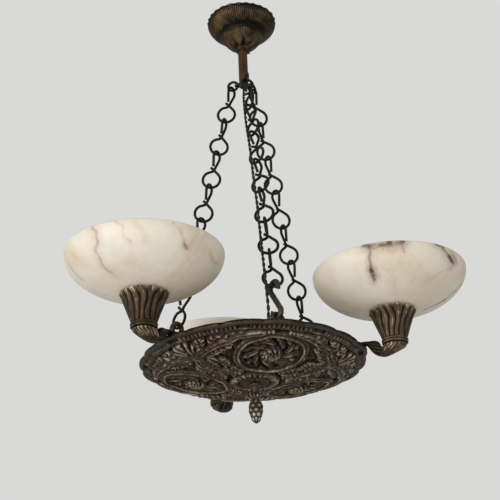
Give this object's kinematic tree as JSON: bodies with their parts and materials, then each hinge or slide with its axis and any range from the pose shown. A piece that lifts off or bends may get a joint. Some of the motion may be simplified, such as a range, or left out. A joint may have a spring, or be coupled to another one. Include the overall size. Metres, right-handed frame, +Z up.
{
  "type": "alabaster bowl pendant",
  "caption": "Hanging ceiling light with a fluted canopy, wire-link chains, a relief-cast bronze dish and alabaster bowls on short fluted arms.",
  "frame": {"origin": "centre of the hanging eye's bore", "axes": "+Z up, along the stem; +Y toward the rear arm; -Y toward the front chain"},
  "size_m": [0.6276, 0.5756, 0.79],
  "materials": {
    "bronze_stem": "aged brown patina",
    "bronze_canopy": "aged brown patina with worn ridges",
    "brass_fixings": "dull unpolished brass",
    "black_iron": "blackened iron wire",
    "bronze_hooks": "dark bronze patina",
    "bronze_plate": "dark brown cast bronze, paler on the high relief",
    "bronze_arms": "olive-brown patina with rubbed edges",
    "alabaster": "polished translucent alabaster with soft grey and brown veins",
    "felt_washers": "felt",
    "holder_black": "matt black phenolic",
    "bulb_glass": "frosted",
    "flex_black": "black twisted flex",
    "terminal_plastic": "pale plastic"
  },
  "bodies": {
    "hanging_clevis": {"hanging_clevis": "bronze_stem", "clevis_pin": "brass_fixings"},
    "stem": {"stem_head": "bronze_stem", "stem_tube": "bronze_stem", "chain_hanger": "bronze_stem", "stem_flex": "flex_black"},
    "canopy": {"canopy": "bronze_canopy", "canopy_collar": "bronze_canopy", "canopy_set_screw": "brass_fixings"},
    "pendant": {"arm_screws": "brass_fixings", "back_arm": "bronze_arms", "back_bowl": "alabaster", "back_cup": "bronze_arms", "back_cup_ring": "bronze_arms", "back_cup_seat": "brass_fixings", "back_lampholder": "holder_black", "back_nipple": "brass_fixings", "bowl_nuts": "brass_fixings", "bowl_washers": "felt_washers", "finial": "bronze_plate", "finial_nut": "brass_fixings", "finial_rod": "brass_fixings", "flex": "flex_black", "front_chain": "black_iron", "front_eye_bolt": "bronze_hooks", "front_s_hook": "bronze_hooks", "left_arm": "bronze_arms", "left_bowl": "alabaster", "left_chain": "black_iron", "left_cup": "bronze_arms", "left_cup_ring": "bronze_arms", "left_cup_seat": "brass_fixings", "left_eye_bolt": "bronze_hooks", "left_lampholder": "holder_black", "left_nipple": "brass_fixings", "left_s_hook": "bronze_hooks", "plate": "bronze_plate", "right_arm": "bronze_arms", "right_bowl": "alabaster", "right_chain": "black_iron", "right_cup": "bronze_arms", "right_cup_ring": "bronze_arms", "right_cup_seat": "brass_fixings", "right_eye_bolt": "bronze_hooks", "right_lampholder": "holder_black", "right_nipple": "brass_fixings", "right_s_hook": "bronze_hooks", "seat_washers": "felt_washers", "terminal_block": "terminal_plastic", "top_rings": "black_iron"},
    "right_bulb": {"right_bulb": "bulb_glass"},
    "back_bulb": {"back_bulb": "bulb_glass"},
    "left_bulb": {"left_bulb": "bulb_glass"}
  },
  "joints": [
    {"name": "stem_swing", "type": "hinge", "parent": "hanging_clevis", "child": "stem", "pos_m": [0, 0, -0.028], "axis": [1, 0, 0], "range_deg": [-12, 12]},
    {"name": "canopy_slide", "type": "slide", "parent": "stem", "child": "canopy", "axis": [0, 0, -1], "range_m": [0, 0.036]},
    {"name": "pendant_swing", "type": "hinge", "parent": "stem", "child": "pendant", "pos_m": [0, 0, -0.1565], "axis": [0, 1, 0], "range_deg": [-6, 6]},
    {"name": "right_bulb_turn", "type": "hinge", "parent": "pendant", "child": "right_bulb", "pos_m": [0.1939, -0.11195, -0.548], "axis": [0, 0, 1], "continuous": true},
    {"name": "back_bulb_turn", "type": "hinge", "parent": "pendant", "child": "back_bulb", "pos_m": [0, 0.2239, -0.548], "axis": [0, 0, 1], "continuous": true},
    {"name": "left_bulb_turn", "type": "hinge", "parent": "pendant", "child": "left_bulb", "pos_m": [-0.1939, -0.11195, -0.548], "axis": [0, 0, 1], "continuous": true}
  ]
}
